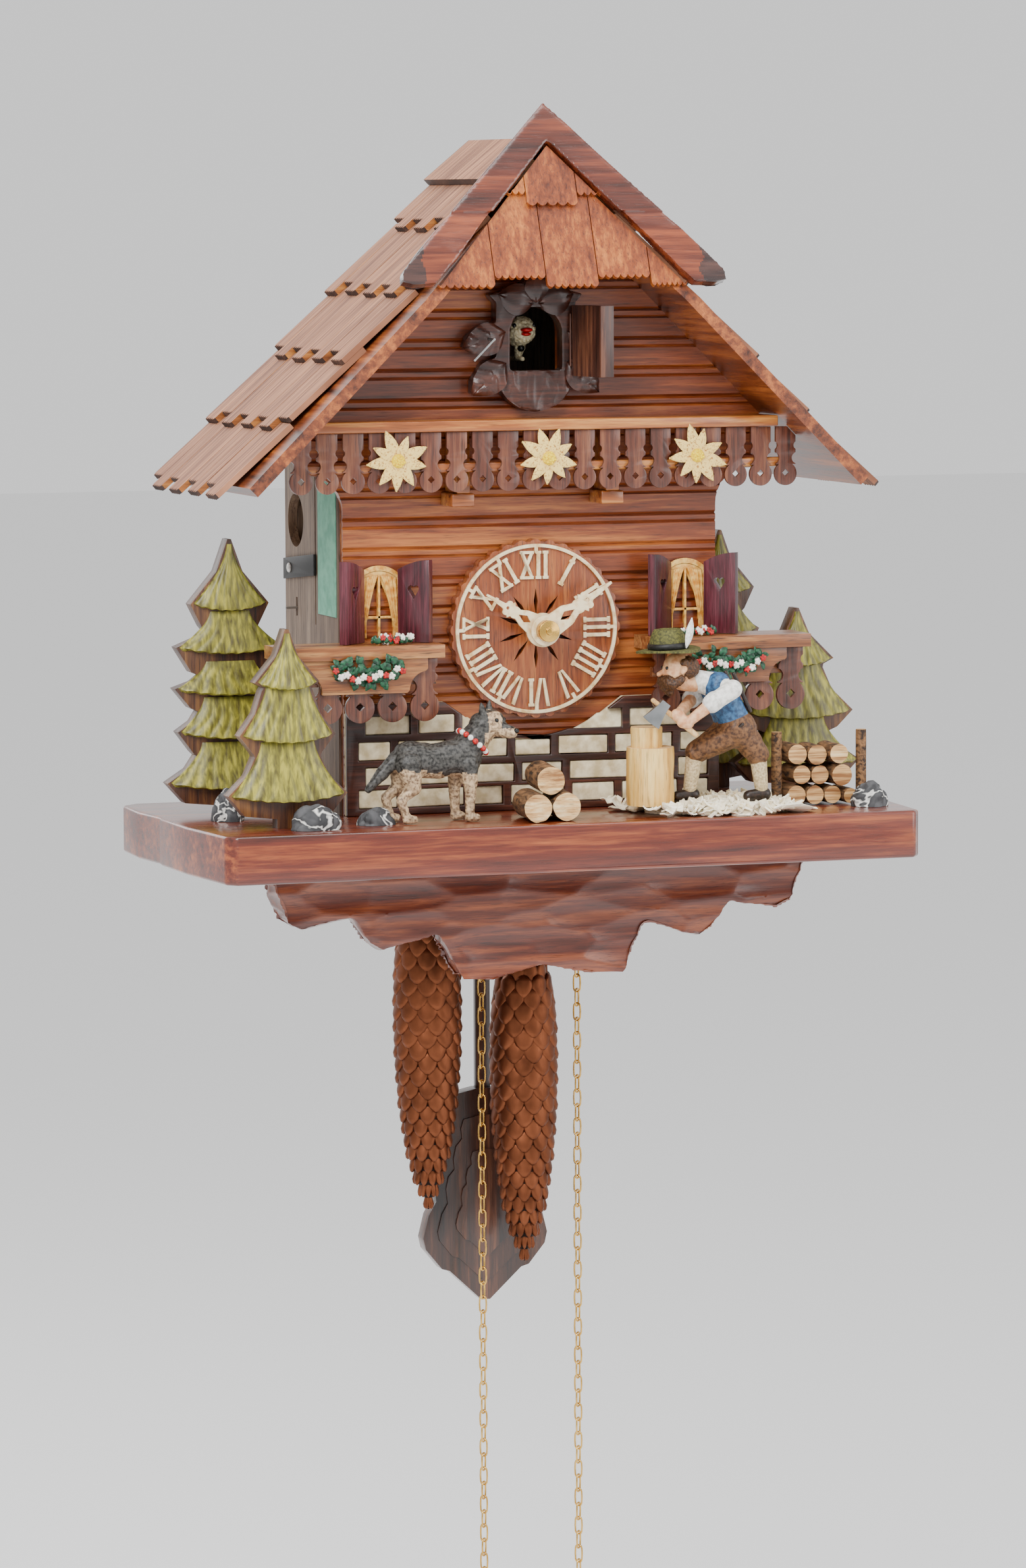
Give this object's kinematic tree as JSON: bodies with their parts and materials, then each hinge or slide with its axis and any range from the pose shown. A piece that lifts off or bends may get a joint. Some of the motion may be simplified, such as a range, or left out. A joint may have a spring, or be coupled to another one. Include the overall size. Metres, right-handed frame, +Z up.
{
  "type": "cuckoo clock",
  "caption": "Chalet cuckoo clock with a chain-driven movement, cone weights and pendulum, a carved woodchopper scene, and a door that opens for the cuckoo.",
  "frame": {"origin": "middle of the base plank's back face, on the wall plane", "axes": "+Y into the wall, +Z up, +X to the viewer's right"},
  "size_m": [0.318, 0.146, 0.6636],
  "materials": {
    "stained_wood": "glossy reddish-brown stain and varnish, carved",
    "log_siding": "glossy reddish-brown moulded siding",
    "raw_wood": "unvarnished, grey-brown",
    "steel": "bright wire and sheet",
    "roof_shingle": "matt brushed shingles with dark ends",
    "gable_shingle": "varnished orange-brown, vertical grain",
    "flower_paint": "cream petals with yellow centres",
    "curtain": "yellow sash and curtains",
    "shutter_paint": "plum paint",
    "oak_panel": "varnished oak",
    "garland_paint": "painted green leaves with red and white blossoms",
    "dark_wood": "dark walnut stain, satin",
    "masonry": "cream stones",
    "cream_plastic": "ivory, moulded",
    "spruce_green": "carved wood with translucent olive paint",
    "rock_paint": "dark grey with white veins",
    "pine": "pale split pine, matt",
    "painted_dog": "hand painted dog, black saddle and tan legs",
    "painted_figure": "hand painted figure",
    "strap": "black strap",
    "label": "plain green paper",
    "brass": "polished",
    "cone_iron": "cast pine cone, rubbed copper over black"
  },
  "bodies": {
    "case": {"base_plank": "stained_wood", "rock_apron": "stained_wood", "front_wall": "log_siding", "side_walls": "raw_wood", "back_panel": "raw_wood", "back_gable": "raw_wood", "wall_hanger": "steel", "roof_board_left": "stained_wood", "roof_board_right": "stained_wood", "roof_shingles_left": "roof_shingle", "roof_shingles_right": "roof_shingle", "barge_boards": "stained_wood", "gable_shingles": "gable_shingle", "balcony_beam": "stained_wood", "fretwork_slats": "stained_wood", "edelweiss_flowers": "flower_paint", "windows": "curtain", "shutters": "shutter_paint", "window_ledges": "oak_panel", "flower_garlands": "garland_paint", "stone_lattice": "dark_wood", "stone_panels": "masonry", "dial": "stained_wood", "dial_numerals": "cream_plastic", "cuckoo_frame": "dark_wood", "spruces": "spruce_green", "rocks": "rock_paint", "firewood": "pine", "chopping_block": "pine", "wood_chips": "pine", "shepherd_dog": "painted_dog", "woodchopper": "painted_figure", "side_strap": "strap", "paper_label": "label", "movement_frame": "brass", "gong": "steel", "cuckoo_pipes": "pine"},
    "minute_hand": {"minute_hand": "cream_plastic", "centre_arbor": "brass"},
    "hour_hand": {"hour_hand": "cream_plastic"},
    "escape_wheel": {"escape_wheel": "brass"},
    "verge": {"verge": "steel"},
    "pendulum": {"pendulum_rod": "dark_wood"},
    "bob": {"pendulum_bob": "dark_wood"},
    "cuckoo_door": {"cuckoo_door": "dark_wood"},
    "door_latch": {"door_latch": "steel"},
    "cuckoo_bird": {"cuckoo_bird": "cream_plastic"},
    "chopper_arms": {"chopper_arms": "painted_figure"},
    "silence_lever": {"silence_lever": "steel"},
    "gong_hammer": {"gong_hammer": "steel"},
    "bellows_left": {"bellows_left": "pine"},
    "bellows_right": {"bellows_right": "pine"},
    "chain_wheel_left": {"chain_wheel_left": "brass"},
    "chain_wheel_right": {"chain_wheel_right": "brass"},
    "weight_left": {"weight_left": "cone_iron", "chain_left": "brass"},
    "weight_right": {"weight_right": "cone_iron", "chain_right": "brass"},
    "pull_ring_left": {"ring_chain_left": "brass"},
    "pull_ring_right": {"ring_chain_right": "brass"}
  },
  "joints": [
    {"name": "minute_hand_turn", "type": "hinge", "parent": "case", "child": "minute_hand", "pos_m": [0, -0.1, 0.087], "axis": [0, 1, 0], "continuous": true},
    {"name": "hour_hand_turn", "type": "hinge", "parent": "case", "child": "hour_hand", "pos_m": [0, -0.097, 0.087], "axis": [0, 1, 0], "continuous": true},
    {"name": "escape_wheel_turn", "type": "hinge", "parent": "case", "child": "escape_wheel", "pos_m": [0, -0.034, 0.1106], "axis": [0, 1, 0], "continuous": true},
    {"name": "pendulum_swing", "type": "hinge", "parent": "case", "child": "pendulum", "pos_m": [0, -0.012, 0.126], "axis": [0, 1, 0], "range_deg": [-5, 5]},
    {"name": "verge_rock", "type": "hinge", "parent": "case", "child": "verge", "pos_m": [0, -0.034, 0.126], "axis": [0, 1, 0], "range_deg": [-5, 5]},
    {"name": "bob_slide", "type": "slide", "parent": "pendulum", "child": "bob", "axis": [0, 0, 1], "range_m": [-0.008, 0.008]},
    {"name": "cuckoo_door_swing", "type": "hinge", "parent": "case", "child": "cuckoo_door", "pos_m": [0.0148, -0.0912, 0.208], "axis": [0, 0, 1], "range_deg": [-100, 0]},
    {"name": "cuckoo_slide", "type": "slide", "parent": "case", "child": "cuckoo_bird", "axis": [0, -1, 0], "range_m": [-0.016, 0]},
    {"name": "door_latch_turn", "type": "hinge", "parent": "case", "child": "door_latch", "pos_m": [-0.0214, -0.0984, 0.209], "axis": [0, 1, 0], "range_deg": [-135, 0]},
    {"name": "chopper_arms_swing", "type": "hinge", "parent": "case", "child": "chopper_arms", "pos_m": [0.07, -0.125, 0.063], "axis": [0, 1, 0], "range_deg": [0, 20]},
    {"name": "silence_lever_slide", "type": "slide", "parent": "case", "child": "silence_lever", "axis": [0, 0, 1], "range_m": [-0.0025, 0.0035]},
    {"name": "gong_hammer_swing", "type": "hinge", "parent": "case", "child": "gong_hammer", "pos_m": [0.024, -0.012, 0.112], "axis": [0, 1, 0], "range_deg": [-6, 14]},
    {"name": "bellows_left_lift", "type": "hinge", "parent": "case", "child": "bellows_left", "pos_m": [-0.07, -0.01, 0.148], "axis": [1, 0, 0], "range_deg": [-14, 0]},
    {"name": "bellows_right_lift", "type": "hinge", "parent": "case", "child": "bellows_right", "pos_m": [0.07, -0.01, 0.148], "axis": [1, 0, 0], "range_deg": [-14, 0]},
    {"name": "weight_left_drop", "type": "slide", "parent": "case", "child": "weight_left", "axis": [0, 0, 1], "range_m": [-0.03, 0.008], "deforming": ["chain_left"]},
    {"name": "weight_right_drop", "type": "slide", "parent": "case", "child": "weight_right", "axis": [0, 0, 1], "range_m": [-0.03, 0.025], "deforming": ["chain_right"]},
    {"name": "pull_ring_left_rise", "type": "slide", "parent": "case", "child": "pull_ring_left", "axis": [0, 0, 1], "range_m": [-0.008, 0.03], "deforming": ["ring_chain_left"]},
    {"name": "pull_ring_right_rise", "type": "slide", "parent": "case", "child": "pull_ring_right", "axis": [0, 0, 1], "range_m": [-0.025, 0.03], "deforming": ["ring_chain_right"]},
    {"name": "chain_wheel_left_turn", "type": "hinge", "parent": "case", "child": "chain_wheel_left", "pos_m": [-0.0218, -0.041, 0.058], "axis": [0, 1, 0], "range_deg": [-141, 38]},
    {"name": "chain_wheel_right_turn", "type": "hinge", "parent": "case", "child": "chain_wheel_right", "pos_m": [0.0218, -0.041, 0.058], "axis": [0, 1, 0], "range_deg": [-141, 118]}
  ],
  "couplings": [
    {"joint": "hour_hand_turn", "follows": "minute_hand_turn", "ratio": 0.083333},
    {"joint": "verge_rock", "follows": "pendulum_swing", "ratio": 1},
    {"joint": "cuckoo_slide", "follows": "cuckoo_door_swing", "m_per_rad": 0.0091},
    {"joint": "pull_ring_left_rise", "follows": "weight_left_drop", "ratio": -1},
    {"joint": "pull_ring_right_rise", "follows": "weight_right_drop", "ratio": -1},
    {"joint": "chain_wheel_left_turn", "follows": "weight_left_drop", "rad_per_m": 81.5},
    {"joint": "chain_wheel_right_turn", "follows": "weight_right_drop", "rad_per_m": 81.5}
  ]
}
